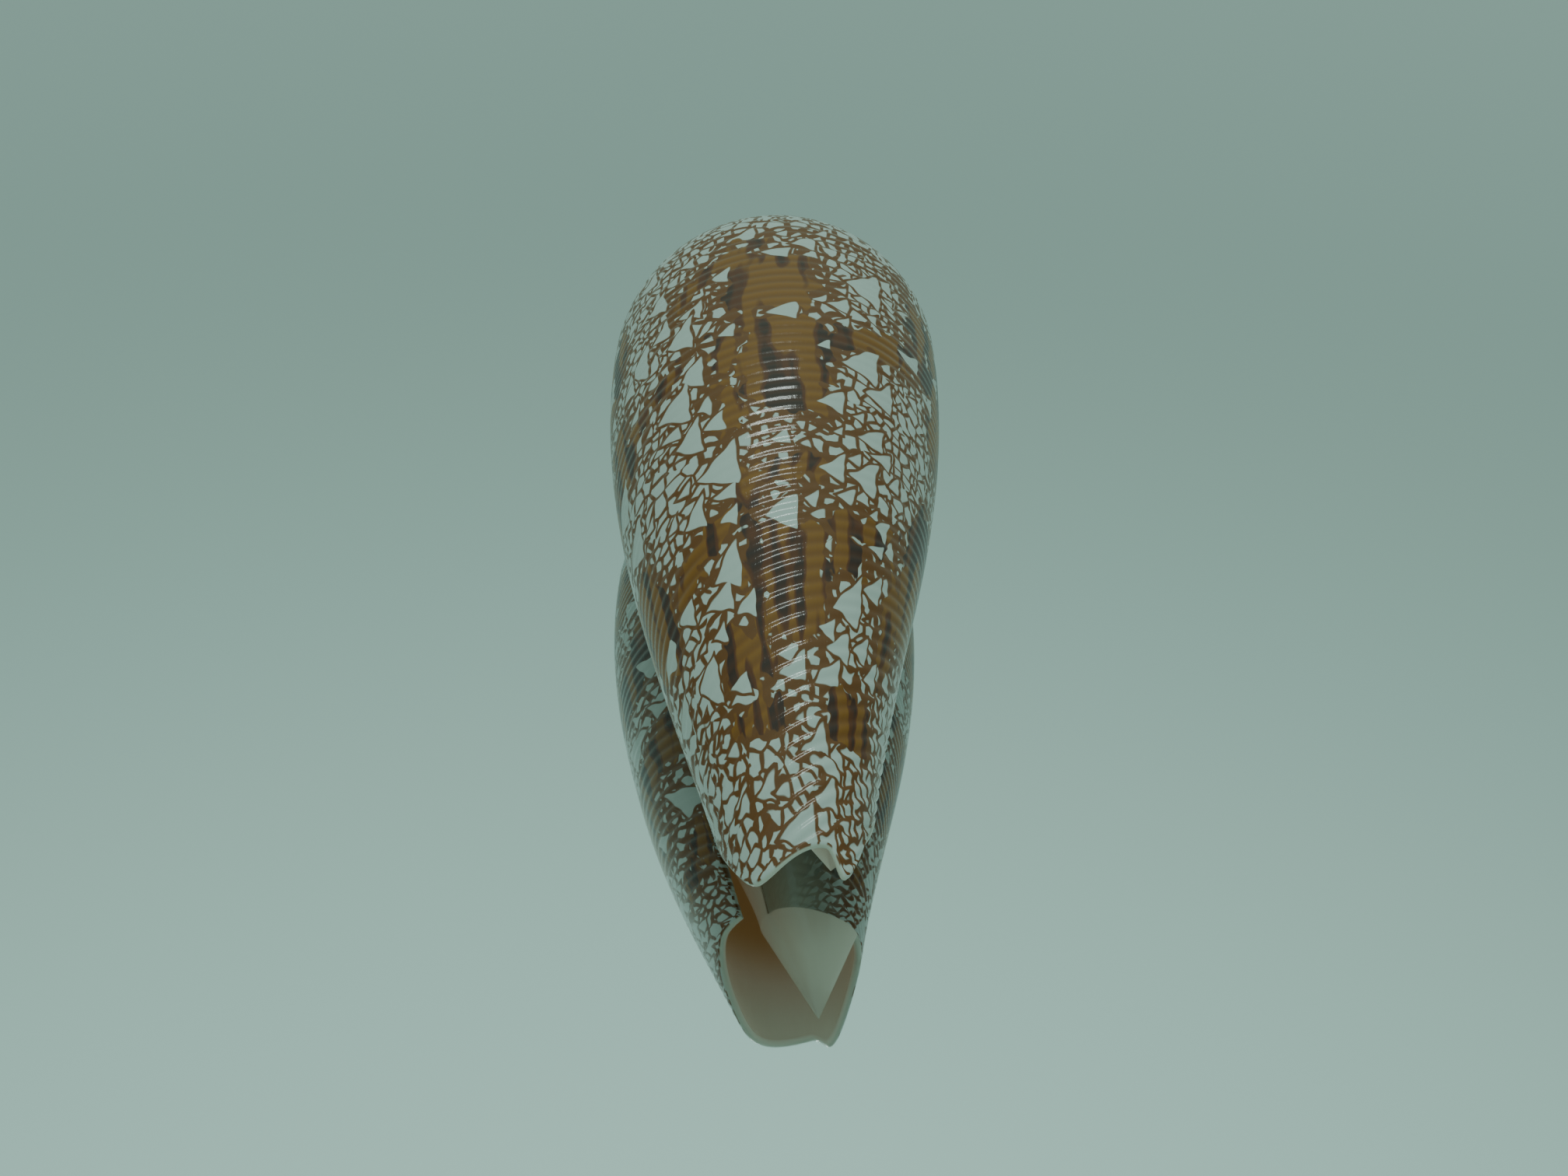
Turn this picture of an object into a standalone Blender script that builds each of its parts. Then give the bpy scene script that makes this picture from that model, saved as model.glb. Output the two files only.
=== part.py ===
"""Cone shell lying on its opening: one grown piece.

The shell is described in its own axes first: s runs along the coiling axis
from the front end towards the apex, and each point has a radius and an angle
about that axis.  Growth runs with rising angle and ends at the outer lip, so
'turns back' counts whole turns from the lip towards the apex.  The piece is
then turned into the pose in which it lies on the ground.
"""

import math

import bmesh
import bpy
from mathutils import Matrix, Vector

MM = 0.001

# Body of the last whorl, in millimetres along and about the coiling axis.
FRONT_RADIUS = 3.9
BELLY_RADIUS = 13.95
BELLY_STATION = 54.0
BELLY_POWER = 1.2
SHOULDER_LENGTH = 8.9
SHOULDER_DROP = 5.45
SHOULDER_END = math.radians(65.0)

# Spire, with the seam between whorls drawn as a spiral on a low cone.
APEX_STATION = 69.6
SPIRE_HEIGHT = 7.5
SPIRE_RADIUS = 10.8
SPIRE_POWER = 0.88
WHORL_RATIO = 0.78
SEAM_STEP = 0.28
RAMP_BULGE = 0.22
WHORLS = 6

# How much smaller the belly is after one whole turn back.
BELLY_TURN_RATIO = 0.86

# The front end leans a little towards the opening and away from the lip.
FRONT_LEAN = 2.2
FRONT_SHIFT = 1.2
FRONT_LEAN_LENGTH = 24.0

# Front edge: cut back at the lip's corner and on the pillar's side, with a
# notch between them.
LIP_CORNER = 5.0
FLANK_BACK = 5.8
PILLAR_BACK = 3.0
SLANT_LENGTH = 30.0
NOTCH_DEPTH = 2.6
NOTCH_TURNS = 0.41
NOTCH_LENGTH = 12.0

# Outer lip, opening and central pillar.
LIP_ANGLE = math.radians(230.0)
LIP_EDGE = 0.8
LIP_WALL = 1.25
LIP_THICKENING = 0.12
CAVITY_TURNS = 0.7
INWARD_START = 0.70
PILLAR_RADIUS = 1.5
PILLAR_TIP = 8.6
CORE_TURN_RATIO = 0.86
GAP_FRONT = 4.7
GAP_BACK = 2.3

# Pose on the ground.
PITCH = math.radians(5.4)

# Fineness of the mesh.
COLUMNS = 60
BODY_ROWS = 13
SHOULDER_ROWS = 5
RAMP_ROWS = 2
ROOF_BACK_ROWS = 1

SHELL_COLOUR = (0.62, 0.42, 0.24, 1.0)
SHELL_ROUGHNESS = 0.25


def smooth(value):
    """Rise smoothly from 0 to 1 while value goes from 0 to 1."""
    x = min(max(value, 0.0), 1.0)
    return x * x * (3.0 - 2.0 * x)


def row_stations():
    """Stations of the rows of the outer surface at the lip, front to seam."""
    rows = [BELLY_STATION * (i / BODY_ROWS) ** 1.15 for i in range(BODY_ROWS)]
    for i in range(SHOULDER_ROWS + 1):
        angle = SHOULDER_END * i / SHOULDER_ROWS
        rows.append(BELLY_STATION + SHOULDER_LENGTH * math.sin(angle))
    return rows


def profile(station):
    """Radius of the outer surface at the lip."""
    if station < BELLY_STATION:
        part = 0.5 * math.pi * max(station, 0.0) / BELLY_STATION
        rise = math.sin(part) ** BELLY_POWER
        return FRONT_RADIUS + (BELLY_RADIUS - FRONT_RADIUS) * rise
    sine = min((station - BELLY_STATION) / SHOULDER_LENGTH, 1.0)
    return BELLY_RADIUS - SHOULDER_DROP * (1.0 - math.sqrt(1.0 - sine * sine))


def spire_station(radius):
    """Station of the spire cone at a radius."""
    return APEX_STATION - SPIRE_HEIGHT * (radius / SPIRE_RADIUS) ** SPIRE_POWER


def slant(turns):
    """How far the front edge is cut back at the lip and towards the pillar."""
    corner = LIP_CORNER * (1.0 - smooth((turns - 0.05) / 0.2))
    flank = FLANK_BACK * smooth((turns - 0.48) / 0.16)
    return corner + flank + PILLAR_BACK * smooth((turns - 0.75) / 0.25)


def notch(turns):
    """Depth of the notch, which rises slowly and ends steeply."""
    rise = smooth((turns - NOTCH_TURNS + 0.19) / 0.19)
    return NOTCH_DEPTH * rise * (1.0 - smooth((turns - NOTCH_TURNS) / 0.05))


def trimmed(turns, station):
    """Station moved back by the slant and the notch of the front edge."""
    slanting = max(0.0, 1.0 - station / SLANT_LENGTH) ** 2
    notched = max(0.0, 1.0 - station / NOTCH_LENGTH) ** 2
    return station + slant(turns) * slanting + notch(turns) * notched


def wall(turns):
    """Wall thickness at a number of turns behind the lip."""
    return LIP_EDGE + (LIP_WALL - LIP_EDGE) * smooth(turns / LIP_THICKENING)


def inner_radius(station, radius):
    """Radius of the wall that faces the inside of the lip."""
    run = min(max(station / BELLY_STATION, 0.0), 1.0)
    gap = GAP_FRONT + (GAP_BACK - GAP_FRONT) * run
    clear = radius - LIP_WALL - gap
    return math.sqrt(PILLAR_RADIUS**2 + max(clear, 0.0) ** 2)


class Spiral:
    """Outer surface of the whorls, by turns back from the lip and by row."""

    def __init__(self):
        self.rows = row_stations()
        self.top_station = self.rows[-1]
        self.top_radius = profile(self.top_station)

    def seam_top(self, turns):
        """Point where a whorl comes out from under the next one."""
        radius = self.top_radius * WHORL_RATIO**turns
        lift = spire_station(radius) - spire_station(self.top_radius)
        return self.top_station + lift, radius

    def seam_foot(self, turns):
        """Point where a whorl ends against the one before it."""
        station, radius = self.seam_top(turns + 1.0)
        return station - SEAM_STEP * WHORL_RATIO ** (0.5 * turns), radius

    def ramp(self, turns, row):
        """Point on the slope between two seams."""
        top = self.seam_top(turns)
        foot = self.seam_foot(turns)
        part = row / RAMP_ROWS
        lift = RAMP_BULGE * WHORL_RATIO**turns * math.sin(math.pi * part)
        station = top[0] + (foot[0] - top[0]) * part + lift
        radius = top[1] + (foot[1] - top[1]) * part + lift
        return station, radius

    def body(self, turns, row):
        """Point on the last whorl, including its inward turn at the opening."""
        station = trimmed(turns, self.rows[row])
        radius = profile(station)
        top_share = smooth((station - BELLY_STATION) / SHOULDER_LENGTH)
        ratio = BELLY_TURN_RATIO + (WHORL_RATIO - BELLY_TURN_RATIO) * top_share
        shrunk = radius * ratio**turns
        share = smooth((turns - INWARD_START) / (1.0 - INWARD_START))
        target = inner_radius(station, radius)
        target += (self.seam_top(1.0)[1] - target) * top_share**2
        shrunk += (min(target, shrunk) - shrunk) * share
        if row == len(self.rows) - 1:
            shrunk = self.seam_top(turns)[1]
        lift = (self.seam_top(turns)[0] - self.top_station)
        return station + lift * smooth(station / self.top_station) ** 2, shrunk

    def core(self, turns, row):
        """Point on the inner core, by turns behind the opening."""
        station, radius = self.body(1.0, row)
        return station, radius * CORE_TURN_RATIO**turns


class ShellMesh:
    """Closed mesh built strip by strip from the spiral."""

    def __init__(self):
        self.mesh = bmesh.new()
        self.spiral = Spiral()
        self.body_count = len(self.spiral.rows)
        self.roof = self.body_count - 1 - ROOF_BACK_ROWS
        self.cavity = round(CAVITY_TURNS * COLUMNS)

    def vertex(self, turns, point):
        """Add a vertex at a station and radius, at the angle of the turn."""
        angle = LIP_ANGLE - 2.0 * math.pi * turns
        station, radius = point
        share = max(0.0, 1.0 - station / FRONT_LEAN_LENGTH) ** 2
        side = radius * math.cos(angle) + FRONT_SHIFT * share
        height = radius * math.sin(angle) - FRONT_LEAN * share
        return self.mesh.verts.new(Vector((side, station, height)) * MM)

    def line(self, turns, points):
        """Add a row of vertices that share one angle."""
        return [self.vertex(turns, point) for point in points]

    def face(self, corners):
        """Add a face, leaving out corners that repeat."""
        kept = []
        for corner in corners:
            if corner not in kept:
                kept.append(corner)
        if len(kept) > 2:
            self.mesh.faces.new(kept)

    def strip(self, first, second):
        """Fill between two lines of equal length."""
        for i in range(len(first) - 1):
            self.face([first[i], first[i + 1], second[i + 1], second[i]])

    def build(self):
        """Make every strip and return the finished mesh."""
        spiral = self.spiral
        columns = []
        ramps = []
        for j in range(WHORLS * COLUMNS + 1):
            turns = j / COLUMNS
            ramp = self.line(turns, [spiral.ramp(turns, k) for k in range(RAMP_ROWS + 1)])
            ramps.append(ramp)
            if j <= COLUMNS:
                rows = [spiral.body(turns, i) for i in range(self.body_count - 1)]
                columns.append(self.line(turns, rows) + [ramp[0]])
        for j in range(COLUMNS):
            self.strip(columns[j], columns[j + 1])
        for j in range(WHORLS * COLUMNS):
            self.strip(ramps[j], ramps[j + 1])
        for j in range((WHORLS - 1) * COLUMNS):
            above = j + COLUMNS
            self.face([ramps[j][-1], ramps[j + 1][-1], ramps[above + 1][0], ramps[above][0]])
        self.cap_apex(ramps)
        lining, core = self.cavity_walls(columns)
        self.close_lip(columns, ramps, lining, core)
        self.close_front(columns, lining, core)
        bmesh.ops.recalc_face_normals(self.mesh, faces=self.mesh.faces[:])
        return self.mesh

    def cap_apex(self, ramps):
        """Close the first whorls with a small point."""
        tip = self.vertex(0.0, (APEX_STATION, 0.0))
        start = (WHORLS - 1) * COLUMNS
        for j in range(start, WHORLS * COLUMNS):
            self.face([ramps[j][-1], ramps[j + 1][-1], tip])
        self.face([ramps[start][-1]] + ramps[-1] + [tip])

    def cavity_walls(self, columns):
        """Line the hollow of the last whorl on both sides."""
        spiral = self.spiral
        lining = []
        core = []
        for j in range(self.cavity + 1):
            turns = j / COLUMNS
            thick = wall(turns)
            inside = []
            for i in range(self.roof + 1):
                station, radius = spiral.body(turns, i)
                inside.append((station, radius - thick))
            lining.append(self.line(turns, inside))
            if j == 0:
                core.append(columns[COLUMNS][: self.roof + 1])
            else:
                points = [spiral.core(turns, i) for i in range(self.roof + 1)]
                core.append(self.line(turns, points))
        for j in range(self.cavity):
            self.strip(lining[j], lining[j + 1])
            self.strip(core[j], core[j + 1])
            self.face([lining[j][-1], lining[j + 1][-1], core[j + 1][-1], core[j][-1]])
        self.strip(lining[-1], core[-1])
        return lining, core

    def close_lip(self, columns, ramps, lining, core):
        """Close the edge of the lip and the end of the whorl above it."""
        outer = columns[0]
        under = columns[COLUMNS]
        roof = self.roof
        self.strip(outer[: roof + 1], lining[0])
        self.face([outer[roof], outer[roof + 1], under[roof + 1], under[roof], lining[0][-1]])
        self.strip(outer[roof + 1 :], under[roof + 1 :])
        self.face(ramps[0] + [under[-1]])

    def close_front(self, columns, lining, core):
        """Close the front edge of the wall and the tip of the pillar."""
        for j in range(self.cavity):
            outer = (columns[j][0], columns[j + 1][0])
            self.face([outer[0], outer[1], lining[j + 1][0], lining[j][0]])
        ring = [columns[j][0] for j in range(self.cavity, COLUMNS + 1)]
        ring += [core[j][0] for j in range(1, self.cavity + 1)]
        ring.append(lining[self.cavity][0])
        tip = self.vertex(0.0, (PILLAR_TIP, 0.0))
        for i, corner in enumerate(ring):
            self.face([corner, ring[(i + 1) % len(ring)], tip])


def pose(mesh):
    """Turn the shell into its lying pose and set the origin below its middle."""
    turn = Matrix.Rotation(PITCH, 4, "X")
    bmesh.ops.transform(mesh, matrix=turn, verts=mesh.verts)
    low = [min(v.co[axis] for v in mesh.verts) for axis in range(3)]
    high = [max(v.co[axis] for v in mesh.verts) for axis in range(3)]
    middle = Vector(((low[0] + high[0]) / 2.0, (low[1] + high[1]) / 2.0, low[2]))
    bmesh.ops.translate(mesh, vec=-middle, verts=mesh.verts)


def make_material():
    """Glossy shell surface."""
    material = bpy.data.materials.new("shell_surface")
    material.use_nodes = True
    shader = material.node_tree.nodes["Principled BSDF"]
    shader.inputs["Base Color"].default_value = SHELL_COLOUR
    shader.inputs["Roughness"].default_value = SHELL_ROUGHNESS
    return material


def main():
    """Clear the scene and build the shell."""
    for item in list(bpy.data.objects):
        bpy.data.objects.remove(item, do_unlink=True)
    group = bpy.data.collections.new("cone_shell")
    bpy.context.scene.collection.children.link(group)
    mesh = ShellMesh().build()
    pose(mesh)
    data = bpy.data.meshes.new("shell")
    mesh.to_mesh(data)
    mesh.free()
    data.polygons.foreach_set("use_smooth", [True] * len(data.polygons))
    data.materials.append(make_material())
    shell = bpy.data.objects.new("shell", data)
    group.objects.link(shell)


main()
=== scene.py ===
"""Visual model of a cone shell lying on its opening, seen from its front end.

The shell is one grown piece.  Its surface is described by growth: how many
turns a point lies behind the outer lip, and its station in millimetres along
the coiling axis from the front end.  Sheets are made flat, moved to their
place by the growth formulas and welded into one closed skin.
"""

import logging
import math
from dataclasses import dataclass, field
from typing import Callable, Sequence, Union

import bmesh
import bpy
from mathutils import Matrix, Vector


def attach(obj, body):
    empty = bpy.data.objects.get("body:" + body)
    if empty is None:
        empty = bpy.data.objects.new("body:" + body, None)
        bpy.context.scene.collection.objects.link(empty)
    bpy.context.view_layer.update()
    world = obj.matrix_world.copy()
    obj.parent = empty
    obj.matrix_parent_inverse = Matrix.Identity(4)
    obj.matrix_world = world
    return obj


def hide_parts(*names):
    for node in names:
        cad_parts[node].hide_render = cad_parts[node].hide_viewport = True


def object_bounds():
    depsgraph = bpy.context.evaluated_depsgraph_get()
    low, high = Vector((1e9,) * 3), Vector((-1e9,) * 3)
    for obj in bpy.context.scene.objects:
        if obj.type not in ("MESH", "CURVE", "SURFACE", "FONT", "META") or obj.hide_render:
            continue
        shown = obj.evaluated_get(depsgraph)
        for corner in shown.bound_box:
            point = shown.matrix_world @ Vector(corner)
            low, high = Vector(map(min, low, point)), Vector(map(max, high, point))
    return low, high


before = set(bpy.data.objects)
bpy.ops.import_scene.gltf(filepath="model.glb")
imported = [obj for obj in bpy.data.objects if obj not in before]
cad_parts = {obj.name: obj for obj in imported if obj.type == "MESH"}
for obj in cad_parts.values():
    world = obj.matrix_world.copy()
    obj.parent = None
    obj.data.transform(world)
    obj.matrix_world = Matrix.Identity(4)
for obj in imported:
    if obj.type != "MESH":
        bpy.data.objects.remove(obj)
CAD_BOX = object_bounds()

LOG = logging.getLogger("cone_shell")

MM = 0.001
TURN_LENGTH = 75.4
NET_UNEVENNESS = 0.85
KEY_STEP = 5e-6

Pair = tuple[float, float]
Triple = tuple[float, float, float]
Place = Callable[[float, float], Vector]
Growth = Callable[[float, float], tuple[float, float, float, float]]


def clamp(value: float) -> float:
    """Keep a value between 0 and 1."""
    return min(max(value, 0.0), 1.0)


def smooth(value: float) -> float:
    """Rise smoothly from 0 to 1 while the value goes from 0 to 1."""
    x = clamp(value)
    return x * x * (3.0 - 2.0 * x)


def ease(value: float, span: Pair) -> float:
    """Rise smoothly from 0 to 1 over a span, given by its start and length."""
    return smooth((value - span[0]) / span[1])


def mix(first: float, second: float, share: float) -> float:
    """Blend two numbers."""
    return first + (second - first) * share


def bell(value: float, centre: float, width: float) -> float:
    """Bell shape of height 1 round a centre."""
    return math.exp(-(((value - centre) / width) ** 2))


@dataclass(frozen=True)
class ShellForm:
    """Growth formulas of the shell, in millimetres about the coiling axis.

    A span gives the start and the length of a smooth change.
    """

    front_radius: float = 3.9
    belly_radius: float = 13.95
    belly_station: float = 54.0
    belly_power: float = 1.2
    shoulder_length: float = 8.9
    shoulder_drop: float = 5.45
    shoulder_end: float = math.radians(65.0)
    apex_station: float = 69.6
    spire_height: float = 7.5
    spire_radius: float = 10.8
    spire_power: float = 0.88
    whorl_ratio: float = 0.78
    seam_step: float = 0.28
    seam_length: float = 1.2
    ramp_bulge: float = 0.22
    belly_turn_ratio: float = 0.86
    front_lean: float = 2.2
    front_shift: float = 1.2
    front_lean_length: float = 24.0
    lip_corner: float = 5.0
    lip_corner_span: Pair = (0.05, 0.2)
    flank_back: float = 5.8
    flank_span: Pair = (0.48, 0.16)
    pillar_back: float = 3.0
    pillar_span: Pair = (0.75, 0.25)
    slant_length: float = 30.0
    notch_depth: float = 1.5
    notch_turns: float = 0.44
    notch_rise: float = 0.19
    notch_fall: float = 0.05
    notch_length: float = 12.0
    lip_angle: float = math.radians(230.0)
    lip_edge: float = 0.8
    lip_wall: float = 1.25
    lip_thickening: float = 0.12
    front_edge: float = 0.5
    front_thickening: float = 9.0
    inward_start: float = 0.70
    pillar_radius: float = 1.5
    core_turn_ratio: float = 0.86
    gap_front: float = 4.7
    gap_back: float = 2.3
    cord_pitch: float = 0.97
    cord_depth_front: float = 0.12
    cord_depth_back: float = 0.06
    cord_depth_length: float = 24.0
    cord_sharpness: float = 1.4
    cord_centre: float = 0.37
    cord_slant_front: float = 19.0
    cord_slant_back: float = 9.0
    cord_slant_span: Pair = (20.0, 22.0)
    cord_level_span: Pair = (48.0, 12.0)
    cord_end_span: Pair = (0.78, 0.12)
    cord_end_front: float = 0.6
    cord_end_top: float = 5.0
    skin_inset: float = 0.03
    skin_inset_end: float = 0.5

    @property
    def top_station(self) -> float:
        """Station of the last whorl's upper edge at the lip."""
        return self.belly_station + self.shoulder_length * math.sin(self.shoulder_end)

    @property
    def top_radius(self) -> float:
        """Radius of the last whorl's upper edge at the lip."""
        return self.belly_radius - self.shoulder_drop * (1.0 - math.cos(self.shoulder_end))

    def profile(self, station: float) -> float:
        """Radius of the outer surface at the lip.

        Args:
            station: Distance from the front end along the axis.

        Returns:
            The radius at that station.
        """
        if station < self.belly_station:
            part = 0.5 * math.pi * max(station, 0.0) / self.belly_station
            rise = math.sin(part) ** self.belly_power
            return mix(self.front_radius, self.belly_radius, rise)
        sine = min((station - self.belly_station) / self.shoulder_length, 1.0)
        return self.belly_radius - self.shoulder_drop * (1.0 - math.sqrt(1.0 - sine * sine))

    def spire_station(self, radius: float) -> float:
        """Station of the spire cone at a radius."""
        drop = (radius / self.spire_radius) ** self.spire_power
        return self.apex_station - self.spire_height * drop

    def slant(self, turns: float) -> float:
        """How far the front edge is cut back at the lip and at the pillar."""
        corner = self.lip_corner * (1.0 - ease(turns, self.lip_corner_span))
        flank = self.flank_back * ease(turns, self.flank_span)
        return corner + flank + self.pillar_back * ease(turns, self.pillar_span)

    def notch(self, turns: float) -> float:
        """Depth of the notch, which rises slowly and ends steeply."""
        past = turns - self.notch_turns
        rise = smooth((past + self.notch_rise) / self.notch_rise)
        return self.notch_depth * rise * (1.0 - smooth(past / self.notch_fall))

    def trimmed(self, turns: float, station: float) -> float:
        """Station moved back by the slant and the notch of the front edge."""
        slanting = max(0.0, 1.0 - station / self.slant_length) ** 2
        notched = max(0.0, 1.0 - station / self.notch_length) ** 2
        return station + self.slant(turns) * slanting + self.notch(turns) * notched

    def wall(self, turns: float, station: float) -> float:
        """Wall thickness, which thins out at the lip and at the front."""
        full = mix(self.lip_edge, self.lip_wall, smooth(turns / self.lip_thickening))
        return mix(self.front_edge, full, smooth(station / self.front_thickening))

    def inner_radius(self, station: float, radius: float) -> float:
        """Radius of the pillar side that faces the inside of the lip."""
        run = clamp(station / self.belly_station)
        clear = radius - self.lip_wall - mix(self.gap_front, self.gap_back, run)
        return math.hypot(self.pillar_radius, max(clear, 0.0))

    def seam_top(self, turns: float) -> Pair:
        """Station and radius where a whorl comes out from under the next."""
        radius = self.top_radius * self.whorl_ratio**turns
        lift = self.spire_station(radius) - self.spire_station(self.top_radius)
        return self.top_station + lift, radius

    def seam_foot(self, turns: float) -> Pair:
        """Station and radius where a whorl ends against the one before it."""
        station, radius = self.seam_top(turns + 1.0)
        return station - self.seam_step * self.whorl_ratio ** (0.5 * turns), radius

    def ramp(self, turns: float, part: float) -> Pair:
        """Point on the slope between two seams, part running from 0 to 1."""
        top = self.seam_top(turns)
        foot = self.seam_foot(turns)
        lift = self.ramp_bulge * self.whorl_ratio**turns * math.sin(math.pi * part)
        return mix(top[0], foot[0], part) + lift, mix(top[1], foot[1], part) + lift

    def body(self, turns: float, station: float) -> Pair:
        """Station and radius of the last whorl, without its cords.

        Args:
            turns: Turns behind the lip, from 0 to 1.
            station: Station at the lip, from 0 to the upper edge.

        Returns:
            The station and radius at those turns.
        """
        station = self.trimmed(turns, station)
        top_share = smooth((station - self.belly_station) / self.shoulder_length)
        ratio = mix(self.belly_turn_ratio, self.whorl_ratio, top_share)
        shrunk = self.profile(station) * ratio**turns
        share = smooth((turns - self.inward_start) / (1.0 - self.inward_start))
        target = self.inner_radius(station, self.profile(station))
        target = mix(target, self.seam_top(1.0)[1], top_share**2)
        shrunk += (min(target, shrunk) - shrunk) * share
        seam = self.seam_top(turns)
        near_seam = smooth((station - self.top_station + self.seam_length) / self.seam_length)
        shrunk = mix(shrunk, seam[1], near_seam)
        lift = (seam[0] - self.top_station) * smooth(station / self.top_station) ** 2
        return station + lift, shrunk

    def cord_phase(self, turns: float, station: float) -> float:
        """Number of spiral cords between the front end and a point."""
        station = self.trimmed(turns, station)
        start, length = self.cord_slant_span
        share = clamp((station - start) / length)
        slant = mix(self.cord_slant_front, self.cord_slant_back, share)
        slant *= 1.0 - ease(station, self.cord_level_span)
        return (station - slant * (turns - self.cord_centre)) / self.cord_pitch

    def outside(self, turns: float, station: float) -> Pair:
        """Station and radius of the outer skin with its cords."""
        along, radius = self.body(turns, station)
        below_top = self.top_station - station
        share = smooth(station / self.cord_depth_length)
        depth = mix(self.cord_depth_front, self.cord_depth_back, share)
        depth *= 1.0 - ease(turns, self.cord_end_span)
        depth *= smooth(below_top / self.cord_end_top) * smooth(station / self.cord_end_front)
        wave = 0.5 - 0.5 * math.cos(2.0 * math.pi * self.cord_phase(turns, station))
        inset = self.skin_inset + depth * wave**self.cord_sharpness
        return along, radius - inset * smooth(below_top / self.skin_inset_end)

    def lining(self, turns: float, station: float) -> Pair:
        """Station and radius of the wall's inner face."""
        along, radius = self.body(turns, station)
        return along, radius - self.wall(turns, station)

    def place(self, turns: float, point: Pair) -> Vector:
        """Turn a station and radius into a point in the shell's own axes."""
        angle = self.lip_angle - 2.0 * math.pi * turns
        station, radius = point
        share = max(0.0, 1.0 - station / self.front_lean_length) ** 2
        side = radius * math.cos(angle) + self.front_shift * share
        height = radius * math.sin(angle) - self.front_lean * share
        return Vector((side, station, height)) * MM


@dataclass(frozen=True)
class Sheet:
    """Flat grid that is moved to its place by the growth formulas.

    Both functions take the share of the way across and the share of the way
    along.  The first gives the place and the second gives turns, station and
    how far inside the shell the point counts.
    """

    columns: int
    rows: int
    place: Place
    growth: Growth

    def add(self, mesh: bmesh.types.BMesh) -> None:
        """Add the sheet to a mesh.

        Args:
            mesh: Mesh with the two layers of surface coordinates.
        """
        made = bmesh.ops.create_grid(
            mesh, x_segments=self.columns, y_segments=self.rows, size=0.5
        )
        growth_layer = mesh.loops.layers.uv["growth"]
        zone_layer = mesh.loops.layers.uv["zone"]
        for vert in made["verts"]:
            across = clamp(round((vert.co.x + 0.5) * self.columns) / self.columns)
            along = clamp(round((vert.co.y + 0.5) * self.rows) / self.rows)
            turns, station, inside, extra = self.growth(across, along)
            for loop in vert.link_loops:
                loop[growth_layer].uv = (turns * TURN_LENGTH, station)
                loop[zone_layer].uv = (inside, extra)
            vert.co = self.place(across, along)


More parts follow.
